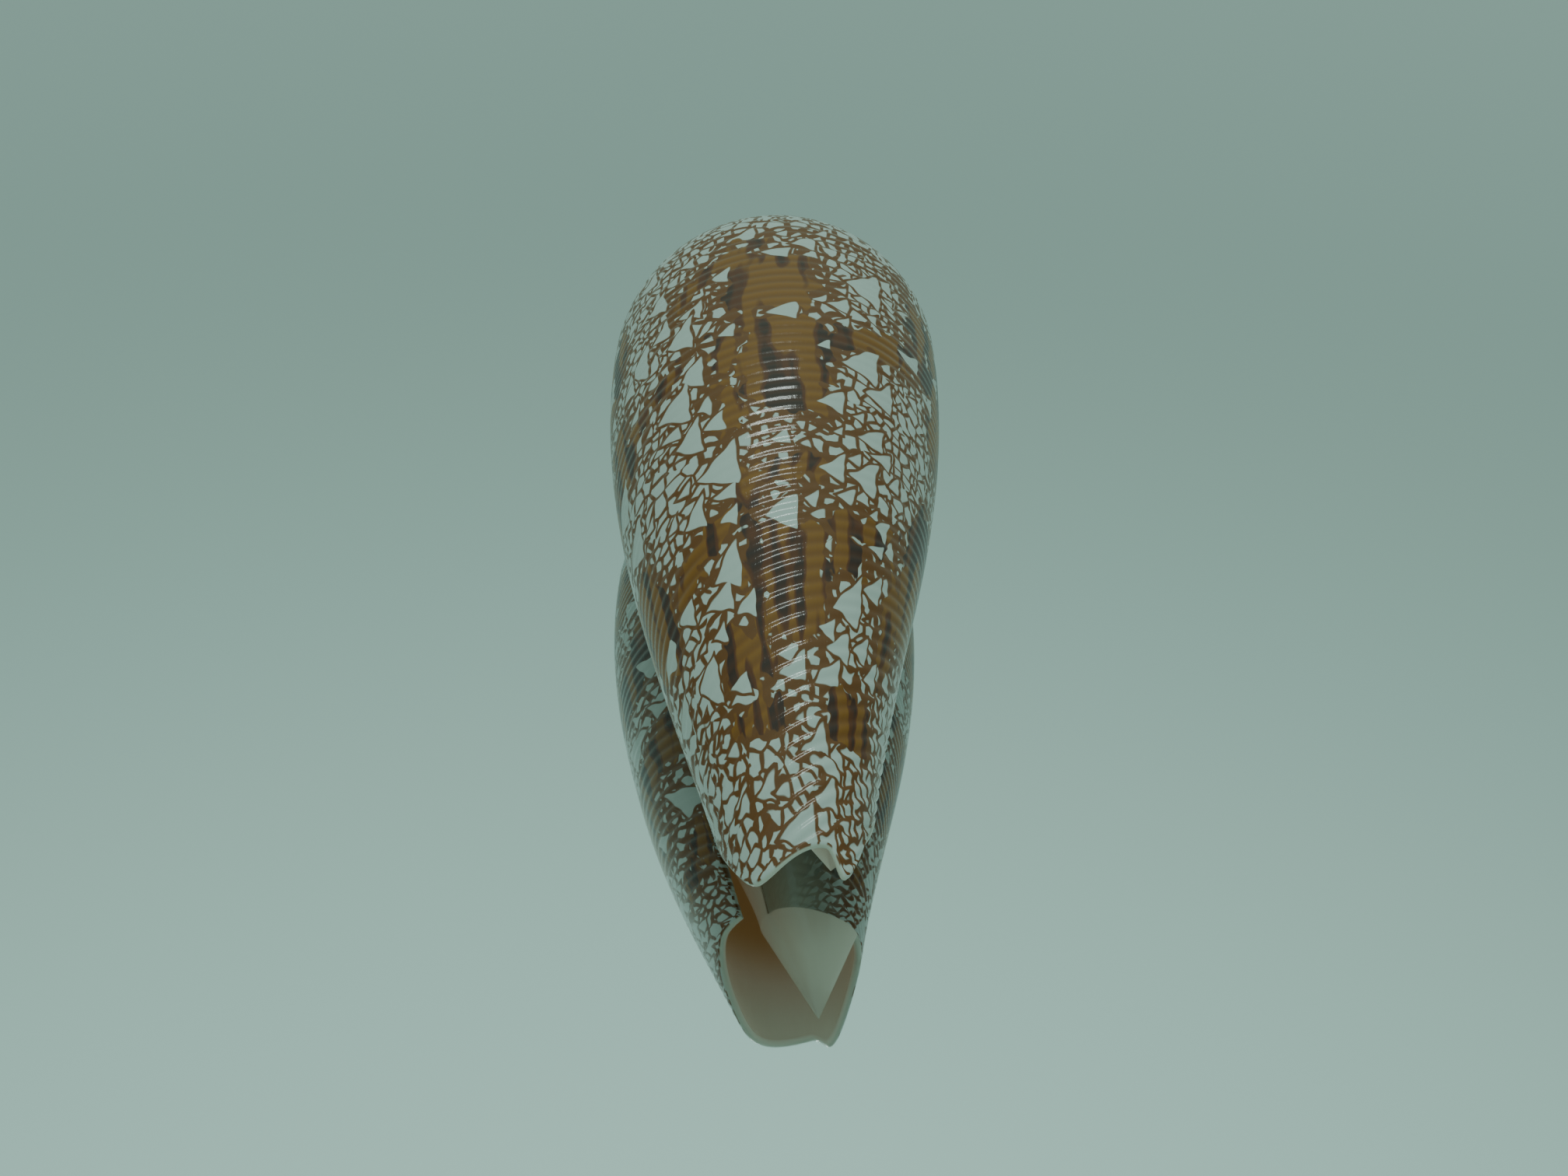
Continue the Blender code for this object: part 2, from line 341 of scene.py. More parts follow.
@dataclass
class GrownShell:
    """The whole shell as one closed skin.

    The skin is divided finely outside and coarsely in the hollow.  Rounding is
    a share of the wall, and its widths are in turns and in millimetres.
    """

    form: ShellForm = field(default_factory=ShellForm)
    columns: int = 150
    rows: int = 384
    roof_row: int = 378
    coarse: int = 3
    cavity_turns: float = 0.7
    spire_turns: int = 10
    ramp_rows: int = 5
    edge_rows: int = 3
    pitch: float = math.radians(5.4)
    pillar_tip: float = 1.4
    pillar_tip_turns: float = 0.5
    pillar_tip_radius: float = 2.2
    pillar_tip_growth: float = 0.9
    rounding: float = 0.4
    lip_rounding: float = 0.012
    lip_rounding_end: float = 2.0
    front_rounding: float = 0.5
    ramp_growth: float = 3.4
    step_growth: float = 0.3
    end_wall_inside: float = 0.8
    weld: float = 2e-6

    def station(self, row: float) -> float:
        """Station at the lip of a row of the outer skin."""
        return self.form.top_station * row / self.rows

    def set_back(self, turns: float, station: float) -> Vector:
        """Offset that rounds the lip and the front edge."""
        angle = self.form.lip_angle - 2.0 * math.pi * turns
        growing = Vector((-math.sin(angle), 0.0, math.cos(angle)))
        forward = Vector((0.0, -1.0, 0.0))
        reach = self.rounding * self.form.wall(turns, station) * MM
        fade = smooth((self.form.top_station - station) / self.lip_rounding_end)
        lip = growing * bell(turns, 0.0, self.lip_rounding) * fade
        front = forward * bell(station, 0.0, self.front_rounding)
        return (lip + front) * -reach

    def outer(self, turns: float, station: float) -> Vector:
        """Place of a point on the outer skin."""
        point = self.form.place(turns, self.form.outside(turns, station))
        return point + self.set_back(turns, station)

    def inner(self, turns: float, station: float) -> Vector:
        """Place of a point on the wall's inner face."""
        point = self.form.place(turns, self.form.lining(turns, station))
        return point + self.set_back(turns, station)

    def core(self, turns: float, station: float) -> Vector:
        """Place of a point on the core behind the opening."""
        along, radius = self.form.outside(1.0, station)
        shrunk = radius * self.form.core_turn_ratio**turns
        point = self.form.place(turns, (along, shrunk))
        return point + self.set_back(1.0, station)

    def edge(self, turns: float, station: float, part: float) -> Vector:
        """Place of a point on the rounded edge between outer and inner face."""
        point = self.outer(turns, station).lerp(self.inner(turns, station), part)
        return point - self.set_back(turns, station) * math.sin(math.pi * part)

    def across(self, turns: float, station: float, part: float) -> Vector:
        """Place of a point between the inner face and the core."""
        return self.inner(turns, station).lerp(self.core(turns, station), part)

    def end_wall(self, part: float, rise: float) -> Vector:
        """Place of a point on the whorl's end above the opening.

        Args:
            part: Share of the way from the lip to the whorl before it.
            rise: Share of the way from the roof of the opening to the seam.

        Returns:
            The place in the shell's own axes.
        """
        step = part * 2 * self.edge_rows
        roof = self.station(self.roof_row)
        station = mix(roof, self.form.top_station, rise)
        if step <= self.edge_rows:
            lower = self.edge(0.0, roof, step / self.edge_rows)
        else:
            lower = self.across(0.0, roof, step / self.edge_rows - 1.0)
        if step <= self.ramp_rows:
            upper = self.form.place(0.0, self.form.ramp(0.0, step / self.ramp_rows))
        else:
            upper = self.form.place(0.0, self.form.seam_top(1.0))
        low = self.outer(0.0, roof).lerp(self.outer(1.0, roof), part)
        high = self.outer(0.0, self.form.top_station)
        high = high.lerp(self.outer(1.0, self.form.top_station), part)
        middle = self.outer(0.0, station).lerp(self.outer(1.0, station), part)
        return middle + (lower - low) * (1.0 - rise) ** 2 + (upper - high) * rise**2

    def outer_sheet(self) -> Sheet:
        """Outer skin of the last whorl."""
        top = self.form.top_station

        def growth(x: float, y: float) -> tuple[float, float, float, float]:
            """Growth coordinates of the skin, with the number of the cord."""
            along = self.form.body(x, y * top)[0]
            return x, along, 0.0, self.form.cord_phase(x, y * top)

        return Sheet(self.columns, self.rows, lambda x, y: self.outer(x, y * top), growth)

    def ramp_sheet(self) -> Sheet:
        """Slope of the spire's whorls, wound from the lip to the apex."""
        turns = self.spire_turns
        top = self.form.top_station

        def place(x: float, y: float) -> Vector:
            """Place on the slope."""
            return self.form.place(x * turns, self.form.ramp(x * turns, y))

        def growth(x: float, y: float) -> tuple[float, float, float, float]:
            """Growth coordinates, running on past the last whorl's edge."""
            reach = self.ramp_growth * y * self.form.whorl_ratio ** (x * turns)
            return x * turns, top + reach, 0.0, 0.0

        return Sheet(self.columns * turns, self.ramp_rows, place, growth)

    def step_sheet(self) -> Sheet:
        """Small step between one whorl of the spire and the next."""
        turns = self.spire_turns - 1
        top = self.form.top_station

        def place(x: float, y: float) -> Vector:
            """Place on the step."""
            foot = self.form.seam_foot(x * turns)
            head = self.form.seam_top(x * turns + 1.0)
            point = (mix(foot[0], head[0], y), mix(foot[1], head[1], y))
            return self.form.place(x * turns, point)

        def growth(x: float, y: float) -> tuple[float, float, float, float]:
            """Growth coordinates of the upper edge."""
            return x * turns + 1.0, top - self.step_growth * (1.0 - y), 0.0, 0.0

        return Sheet(self.columns * turns, 1, place, growth)

    def opening_sheets(self) -> list[Sheet]:
        """Rounded edges, lining, core, roof and end of the opening."""
        cavity = round(self.cavity_turns * self.columns)
        deep = self.cavity_turns
        roof = self.station(self.roof_row)
        first = self.coarse / self.columns
        low = self.station(self.coarse)
        wide = cavity // self.coarse
        tall = self.roof_row // self.coarse
        top = self.form.top_station
        lip = Sheet(
            self.edge_rows,
            self.roof_row,
            lambda x, y: self.edge(0.0, y * roof, x),
            lambda x, y: (0.0, y * roof, x, 0.0),
        )
        rim = Sheet(
            cavity,
            self.edge_rows,
            lambda x, y: self.edge(x * deep, 0.0, y),
            lambda x, y: (x * deep, 0.0, y, x * deep),
        )
        lining = Sheet(
            wide - 1,
            tall - 1,
            lambda x, y: self.inner(mix(first, deep, x), mix(low, roof, y)),
            lambda x, y: (mix(first, deep, x), mix(low, roof, y), 1.0, mix(first, deep, x)),
        )
        core = Sheet(
            wide - 1,
            tall,
            lambda x, y: self.core(mix(first, deep, x), y * roof),
            lambda x, y: (1.0 + mix(first, deep, x), y * roof, 1.0, mix(first, deep, x)),
        )
        ceiling = Sheet(
            wide,
            self.edge_rows,
            lambda x, y: self.across(x * deep, roof, y),
            lambda x, y: (x * deep, roof, 1.0, x * deep),
        )
        back = Sheet(
            self.edge_rows,
            tall,
            lambda x, y: self.across(deep, y * roof, x),
            lambda x, y: (deep, y * roof, 1.0, deep),
        )
        closing = Sheet(
            2 * self.edge_rows,
            self.rows - self.roof_row,
            self.end_wall,
            lambda x, y: (0.0, mix(roof, top, y), self.end_wall_inside, 0.0),
        )
        return [lip, rim, lining, core, ceiling, back, closing]

    def chain(
        self, mesh: bmesh.types.BMesh, points: Sequence[Vector]
    ) -> list[bmesh.types.BMEdge]:
        """Find the open edges that run through a list of places in order."""
        found = {}
        for vert in mesh.verts:
            if vert.is_boundary:
                found[self.key(vert.co)] = vert
        edges = []
        for start, end in zip(points[:-1], points[1:]):
            first = found[self.key(start)]
            second = found[self.key(end)]
            edge = mesh.edges.get((first, second))
            if edge is not None and edge.is_boundary:
                edges.append(edge)
        return edges

    @staticmethod
    def key(place: Vector) -> tuple[int, int, int]:
        """Place counted in steps of five micrometres."""
        return tuple(round(value / KEY_STEP) for value in place)

    def bridge(
        self,
        mesh: bmesh.types.BMesh,
        fine: Sequence[Vector],
        rough: Sequence[Vector],
    ) -> None:
        """Close the gap between a finely and a roughly divided open edge.

        Args:
            mesh: Mesh to close.
            fine: Places along the fine edge.
            rough: Places along the rough edge, running the same way.
        """
        edges = self.chain(mesh, fine) + self.chain(mesh, rough)
        made = bmesh.ops.bridge_loops(mesh, edges=edges)["faces"]
        fresh = set(made)
        for name in ("growth", "zone"):
            layer = mesh.loops.layers.uv[name]
            for face in made:
                for loop in face.loops:
                    for other in loop.vert.link_loops:
                        if other.face not in fresh:
                            loop[layer].uv = other[layer].uv
                            break

    def join_opening(self, mesh: bmesh.types.BMesh) -> None:
        """Join the rough sheets of the hollow to the fine ones around it."""
        cavity = round(self.cavity_turns * self.columns)
        fine_rows = [self.station(row) for row in range(self.roof_row + 1)]
        rough_rows = fine_rows[:: self.coarse]
        fine_turns = [j / self.columns for j in range(cavity + 1)]
        rough_turns = fine_turns[:: self.coarse]
        fine = [self.inner(0.0, station) for station in reversed(fine_rows)]
        fine += [self.inner(turns, 0.0) for turns in fine_turns[1:]]
        rough = [self.inner(rough_turns[1], station) for station in reversed(rough_rows[1:])]
        rough += [self.inner(turns, rough_rows[1]) for turns in rough_turns[2:]]
        self.bridge(mesh, fine, rough)
        fine = [self.outer(1.0, station) for station in fine_rows]
        rough = [self.core(rough_turns[1], station) for station in rough_rows]
        self.bridge(mesh, fine, rough)

    def cap_ends(self, mesh: bmesh.types.BMesh) -> None:
        """Close the front tip of the pillar and the point of the apex."""
        border = [edge for edge in mesh.edges if edge.is_boundary]
        LOG.info("open edges before capping: %d", len(border))
        lids = bmesh.ops.holes_fill(mesh, edges=border, sides=0)["faces"]
        LOG.info("lids: %s", [len(face.verts) for face in lids])
        made = bmesh.ops.poke(mesh, faces=lids)
        growth_layer = mesh.loops.layers.uv["growth"]
        zone_layer = mesh.loops.layers.uv["zone"]
        for vert in made["verts"]:
            at_front = vert.co.y < 0.5 * self.form.apex_station * MM
            station = self.pillar_tip if at_front else self.form.apex_station
            radius = self.pillar_tip_radius if at_front else 0.0
            vert.co = self.form.place(self.pillar_tip_turns, (station, radius))
            inside = 1.0 if at_front else 0.0
            turns = self.pillar_tip_growth if at_front else self.spire_turns
            for face in vert.link_faces:
                for loop in face.loops:
                    loop[growth_layer].uv = (turns * TURN_LENGTH, station)
                    loop[zone_layer].uv = (inside, 0.0)

    def lay_down(self, mesh: bmesh.types.BMesh) -> None:
        """Turn the shell into its lying pose, inside the frame's box."""
        turn = Matrix.Rotation(self.pitch, 4, "X")
        bmesh.ops.transform(mesh, matrix=turn, verts=mesh.verts)
        low = [min(vert.co[axis] for vert in mesh.verts) for axis in range(3)]
        high = [max(vert.co[axis] for vert in mesh.verts) for axis in range(3)]
        middle = [0.5 * (low[axis] + high[axis]) for axis in range(2)] + [low[2]]
        target = [0.5 * (CAD_BOX[0][axis] + CAD_BOX[1][axis]) for axis in range(2)]
        target.append(CAD_BOX[0][2])
        shift = Vector(target) - Vector(middle)
        bmesh.ops.translate(mesh, vec=shift, verts=mesh.verts)

    def build(self) -> bpy.types.Object:
        """Make the sheets, weld them and return the finished object."""
        mesh = bmesh.new()
        mesh.loops.layers.uv.new("growth")
        mesh.loops.layers.uv.new("zone")
        sheets = [self.outer_sheet(), self.ramp_sheet(), self.step_sheet()]
        for sheet in sheets + self.opening_sheets():
            sheet.add(mesh)
        bmesh.ops.remove_doubles(mesh, verts=mesh.verts, dist=self.weld)
        self.join_opening(mesh)
        self.cap_ends(mesh)
        bmesh.ops.recalc_face_normals(mesh, faces=mesh.faces)
        open_edges = sum(not edge.is_manifold for edge in mesh.edges)
        self.lay_down(mesh)
        data = bpy.data.meshes.new("grown_shell")
        mesh.to_mesh(data)
        mesh.free()
        data.shade_smooth()
        piece = bpy.data.objects.new("grown_shell", data)
        bpy.context.scene.collection.objects.link(piece)
        LOG.info("grown_shell: %d faces, %d open edges", len(data.polygons), open_edges)
        return piece


Value = Union["Tone", int, float]
Colour = tuple[float, float, float, float]


@dataclass(frozen=True)
class Tone:
    """Number that changes over a surface; arithmetic on it adds Math nodes."""

    graph: "Graph"
    socket: bpy.types.NodeSocket

    def math(self, operation: str, *values: Value) -> "Tone":
        """Add a Math node on the given values."""
        return self.graph.math(operation, *values)

    def __add__(self, other: Value) -> "Tone":
        """Sum."""
        return self.math("ADD", self, other)

    __radd__ = __add__

    def __sub__(self, other: Value) -> "Tone":
        """Difference."""
        return self.math("SUBTRACT", self, other)

    def __rsub__(self, other: Value) -> "Tone":
        """Difference from a number."""
        return self.math("SUBTRACT", other, self)

    def __mul__(self, other: Value) -> "Tone":
        """Product."""
        return self.math("MULTIPLY", self, other)

    __rmul__ = __mul__

    def __truediv__(self, other: Value) -> "Tone":
        """Quotient."""
        return self.math("DIVIDE", self, other)

    def __abs__(self) -> "Tone":
        """Size without sign."""
        return self.math("ABSOLUTE", self)

    def floor(self) -> "Tone":
        """Whole number below."""
        return self.math("FLOOR", self)

    def cosine(self) -> "Tone":
        """Cosine of an angle in radians."""
        return self.math("COSINE", self)

    def least(self, other: Value) -> "Tone":
        """Smaller of two."""
        return self.math("MINIMUM", self, other)

    def most(self, other: Value) -> "Tone":
        """Larger of two."""
        return self.math("MAXIMUM", self, other)

    def soft_least(self, other: Value, width: float) -> "Tone":
        """Smaller of two with a rounded change-over."""
        return self.math("SMOOTH_MIN", self, other, width)

    def rise(self, low: float, high: float) -> "Tone":
        """Smooth step from 0 to 1 while the value goes from low to high."""
        node = self.graph.node(
            "ShaderNodeMapRange",
            {"interpolation_type": "SMOOTHSTEP"},
            {"Value": self, "From Min": low, "From Max": high},
        )
        return Tone(self.graph, node.outputs["Result"])


@dataclass(frozen=True)
class Graph:
    """Node tree of one material or world."""

    tree: bpy.types.NodeTree

    def node(self, kind: str, settings: dict, inputs: dict) -> bpy.types.Node:
        """Add a node.

        Args:
            kind: The node's type.
            settings: Properties, which are set first.
            inputs: Values or links, by socket name or index.

        Returns:
            The node.
        """
        made = self.tree.nodes.new(kind)
        for name, value in settings.items():
            setattr(made, name, value)
        for name, value in inputs.items():
            if isinstance(value, Tone):
                self.tree.links.new(value.socket, made.inputs[name])
            elif isinstance(value, bpy.types.NodeSocket):
                self.tree.links.new(value, made.inputs[name])
            else:
                made.inputs[name].default_value = value
        return made

    def math(self, operation: str, *values: Value) -> Tone:
        """Add a Math node and return its result."""
        inputs = dict(enumerate(values))
        made = self.node("ShaderNodeMath", {"operation": operation}, inputs)
        return Tone(self, made.outputs[0])

    def vector(self, operation: str, *values: object) -> bpy.types.NodeSocket:
        """Add a Vector Math node and return its vector."""
        inputs = dict(enumerate(values))
        made = self.node("ShaderNodeVectorMath", {"operation": operation}, inputs)
        return made.outputs["Vector"]

    def dot(self, place: bpy.types.NodeSocket, line: Triple) -> Tone:
        """Distance of a place from a line given as a plane through it."""
        made = self.node("ShaderNodeVectorMath", {"operation": "DOT_PRODUCT"}, {0: place, 1: line})
        return Tone(self, made.outputs["Value"])

    def join(self, x: Value, y: Value, z: Value = 0.0) -> bpy.types.NodeSocket:
        """Make a vector of three values."""
        return self.node("ShaderNodeCombineXYZ", {}, {0: x, 1: y, 2: z}).outputs[0]

    def split(self, vector: bpy.types.NodeSocket) -> tuple[Tone, Tone, Tone]:
        """Take a vector apart."""
        made = self.node("ShaderNodeSeparateXYZ", {}, {0: vector})
        return tuple(Tone(self, socket) for socket in made.outputs)

    def noise(self, vector: bpy.types.NodeSocket, scale: float, detail: float = 1.0) -> Tone:
        """Soft noise about a middle value of 0.5."""
        made = self.node(
            "ShaderNodeTexNoise",
            {"noise_dimensions": "3D"},
            {"Vector": vector, "Scale": scale, "Detail": detail},
        )
        return Tone(self, made.outputs[0])

    def chance(self, x: Value, y: Value, seed: float) -> tuple[Tone, Tone, Tone]:
        """Three random numbers from 0 to 1 for a cell of a grid."""
        cell = self.join(x, y, seed)
        made = self.node("ShaderNodeTexWhiteNoise", {"noise_dimensions": "3D"}, {"Vector": cell})
        return self.split(made.outputs["Color"])

    def blend(self, share: Value, first: object, second: object) -> bpy.types.NodeSocket:
        """Blend two colours."""
        made = self.node(
            "ShaderNodeMix",
            {"data_type": "RGBA"},
            {"Factor": share, 6: first, 7: second},
        )
        return made.outputs[2]

    def net(self, vector: bpy.types.NodeSocket, scale: float) -> Tone:
        """Distance from the nearest line of a net of uneven cells.

        Args:
            vector: Place on the net's plane.
            scale: Cells to the millimetre, on each side.

        Returns:
            The distance in millimetres.
        """
        made = self.node(
            "ShaderNodeTexVoronoi",
            {"voronoi_dimensions": "2D", "feature": "DISTANCE_TO_EDGE"},
            {"Vector": vector, "Scale": scale, "Randomness": NET_UNEVENNESS},
        )
        return Tone(self, made.outputs["Distance"]) / scale


@dataclass(frozen=True)
class Tent:
    """White tent whose tip points to the lip and whose far side is straight.

    Lengths are in millimetres on the growth coordinates: the tip's place, the
    length along the whorl, and the reach above and below the tip.
    """

    across: float
    along: float
    length: float
    above: float
    below: float

    def lines(self) -> list[Triple]:
        """Its three sides as planes that are positive inside."""
        tip = (self.across, self.along)
        high = (self.across + self.length, self.along + self.above)
        low = (self.across + self.length, self.along - self.below)
        sides = []
        for start, end in ((tip, low), (low, high), (high, tip)):
            run = (end[0] - start[0], end[1] - start[1])
            size = math.hypot(*run)
            normal = (-run[1] / size, run[0] / size)
            offset = -(normal[0] * start[0] + normal[1] * start[1])
            sides.append((normal[0], normal[1], offset))
        return sides


@dataclass(frozen=True)
class Ribbon:
    """Golden brown area with dark streaks, as a leaning box."""

    across: float
    along: float
    half_width: float
    half_height: float
    slope: float = 0.0


BLACK: Colour = (0.0, 0.0, 0.0, 1.0)

BACK_TENTS = (
    Tent(33.3, 48.3, 3.0, 3.4, 2.1),
    Tent(32.9, 37.9, 3.3, 3.4, 0.8),
    Tent(37.7, 43.2, 3.0, 2.0, 0.7),
    Tent(31.2, 33.2, 2.3, 1.8, 0.9),
    Tent(35.2, 35.8, 2.4, 2.6, 0.9),
    Tent(27.5, 42.6, 2.4, 1.4, 0.7),
    Tent(31.0, 39.0, 1.4, 1.3, 0.3),
    Tent(27.2, 50.9, 2.2, 1.0, 1.1),
    Tent(29.2, 52.2, 2.2, 2.0, 0.7),
    Tent(20.3, 42.0, 2.1, 3.1, 1.5),
    Tent(21.1, 37.3, 2.0, 2.0, 1.6),
    Tent(18.8, 34.6, 3.0, 2.8, 1.7),
    Tent(20.0, 30.7, 2.5, 2.4, 1.3),
    Tent(22.2, 33.3, 1.3, 1.4, 0.8),
    Tent(22.6, 31.5, 1.9, 1.5, 0.9),
    Tent(21.5, 27.0, 3.8, 2.7, 1.5),
    Tent(18.2, 48.7, 2.0, 2.0, 1.5),
    Tent(21.3, 52.3, 1.3, 1.0, 0.9),
    Tent(23.8, 48.3, 1.5, 1.3, 1.1),
    Tent(18.8, 32.5, 1.9, 0.9, 0.9),
    Tent(31.5, 26.9, 2.5, 2.2, 0.7),
    Tent(34.5, 31.0, 2.6, 2.0, 0.3),
    Tent(24.2, 40.7, 1.4, 1.3, 0.6),
    Tent(16.0, 43.0, 2.4, 2.1, 2.0),
    Tent(34.1, 27.1, 2.8, 2.5, 0.9),
    Tent(35.6, 30.0, 2.5, 1.3, 0.6),
    Tent(33.1, 25.1, 1.8, 1.3, 0.5),
    Tent(26.9, 22.7, 3.0, 1.8, 1.2),
    Tent(30.2, 24.0, 1.6, 1.2, 0.5),
    Tent(19.7, 23.8, 2.4, 2.2, 1.0),
    Tent(22.8, 25.1, 2.2, 0.9, 0.8),
    Tent(23.0, 22.8, 1.9, 1.6, 0.6),
    Tent(21.7, 18.5, 3.0, 3.0, 1.0),
    Tent(20.0, 17.0, 3.6, 1.3, 0.9),
    Tent(23.6, 15.9, 2.3, 1.8, 0.6),
    Tent(16.4, 17.5, 2.7, 1.2, 0.9),
    Tent(20.6, 14.8, 1.9, 1.1, 0.6),
    Tent(17.0, 12.3, 3.4, 1.7, 1.8),
    Tent(21.1, 11.1, 3.0, 1.1, 0.6),
    Tent(27.3, 11.3, 3.4, 2.0, 0.3),
    Tent(32.7, 13.4, 3.0, 1.9, 0.6),
    Tent(31.2, 11.1, 3.6, 2.0, 0.2),
    Tent(33.3, 16.2, 3.5, 3.7, 0.6),
    Tent(36.8, 18.5, 2.3, 2.3, 0.4),
    Tent(36.0, 13.9, 2.4, 1.6, 0.3),
    Tent(31.7, 14.7, 2.2, 1.0, 0.8),
    Tent(37.2, 24.0, 1.8, 1.6, 0.8),
    Tent(39.8, 26.0, 2.1, 2.1, 1.0),
    Tent(36.6, 22.1, 2.2, 1.1, 0.4),
    Tent(40.3, 22.7, 2.1, 2.1, 0.3),
    Tent(38.1, 12.5, 2.3, 2.1, 0.3),
)

BACK_RIBBONS = (
    Ribbon(28.0, 46.9, 3.0, 3.9),
    Ribbon(28.9, 37.2, 3.3, 5.3),
    Ribbon(24.8, 35.3, 0.9, 5.2),
    Ribbon(35.6, 41.8, 3.6, 1.5, 0.35),
    Ribbon(24.2, 50.2, 3.2, 1.2, 1.1),
    Ribbon(29.3, 26.6, 2.9, 1.1, 0.1),
    Ribbon(29.8, 18.2, 3.1, 4.3),
    Ribbon(26.0, 20.0, 0.9, 6.6),
    Ribbon(36.4, 23.0, 3.6, 1.2, 0.25),
    Ribbon(35.0, 20.9, 1.8, 1.9),
    Ribbon(20.8, 20.8, 3.6, 1.1, 0.45),
    Ribbon(24.4, 13.0, 2.7, 1.7),
    Ribbon(37.0, 9.3, 3.5, 1.9),
    Ribbon(41.2, 17.2, 1.5, 3.8),
    Ribbon(24.4, 8.9, 3.2, 1.1),
    Ribbon(19.2, 38.2, 2.6, 0.7, 0.55),
    Ribbon(40.5, 47.5, 1.4, 5.0),
)


@dataclass(frozen=True)
class TentLayer:
    """Scattered tents, one to a cell of a brick-like grid.

    The cell's width and height and the rounding are in millimetres.  The share
    is the part of the cells that hold a tent.  The tip's place, the near, far,
    low and high sides and the shrinking are parts of a cell.
    """

    wide: float
    tall: float
    seed: float
    share: float
    tip_low: float = 0.12
    tip_reach: float = 0.38
    near: float = 0.04
    far: float = 0.9
    low: float = 0.06
    high: float = 0.94
    shrinking: float = 0.22
    rounding: float = 0.25
    upper_tilt: float = 0.78
    lower_tilt: float = 0.95
    second_seed: float = 7.0
    absent: float = 9.0

    def inside(self, graph: Graph, across: Tone, along: Tone) -> Tone:
        """Distance inside the nearest tent's outline, negative outside.

        Args:
            graph: Node tree.
            across: Growth coordinate round the whorl.
            along: Growth coordinate along the axis.

        Returns:
            The distance in millimetres.
        """
        row = (along / self.tall).floor()
        offset = graph.chance(row, 0.0, self.seed)[0]
        shifted = across / self.wide + offset
        column = shifted.floor()
        x = (shifted - column) * self.wide
        y = along - row * self.tall
        present, lean, small = graph.chance(column, row, self.seed + self.second_seed)
        tip = (self.tip_low + self.tip_reach * lean) * self.tall
        near = self.near * self.wide
        far = self.far * self.wide
        run = x - near
        rise = (self.high * self.tall - tip) / (far - near)
        fall = (tip - self.low * self.tall) / (far - near)
        upper = (run * rise - (y - tip)) * self.upper_tilt
        lower = (y - tip + run * fall) * self.lower_tilt
        inside = upper.soft_least(lower, self.rounding).soft_least(far - x, self.rounding)
        missing = present.rise(self.share, self.share + 0.001) * self.absent
        return inside - small * self.shrinking * min(self.wide, self.tall) - missing


